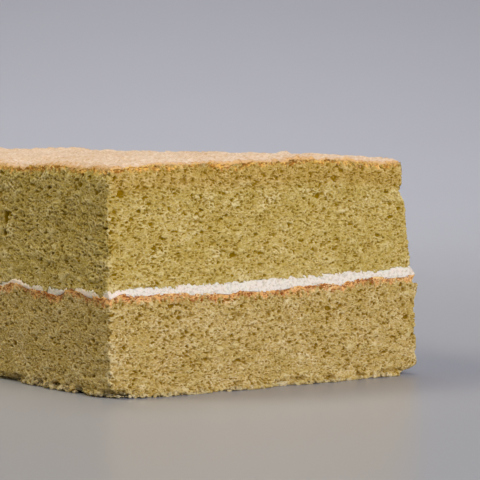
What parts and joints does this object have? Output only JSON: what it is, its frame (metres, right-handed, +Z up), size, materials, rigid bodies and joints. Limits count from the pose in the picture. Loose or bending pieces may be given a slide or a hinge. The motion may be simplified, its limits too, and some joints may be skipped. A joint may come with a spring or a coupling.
{
  "type": "green tea chiffon cake bar",
  "caption": "Cut bar of green tea chiffon cake: two soft porous sponge sheets with browned crusts and a thin layer of cream between them.",
  "frame": {"origin": "centre of the bounding box at the flat underside", "axes": "+Z up, +Y along the bar, +X across it; the corner that the picture shows in front is at -X, -Y"},
  "size_m": [0.098, 0.22, 0.0599],
  "materials": {
    "sponge_lower": "baked sponge crumb, open pores, dry and matte",
    "cream": "whipped cream, soft and faintly glossy",
    "sponge_upper": "baked green tea sponge crumb, open pores, dry and matte"
  },
  "bodies": {
    "root": {"sponge_lower": "sponge_lower", "cream_filling": "cream", "sponge_upper": "sponge_upper"}
  },
  "joints": []
}
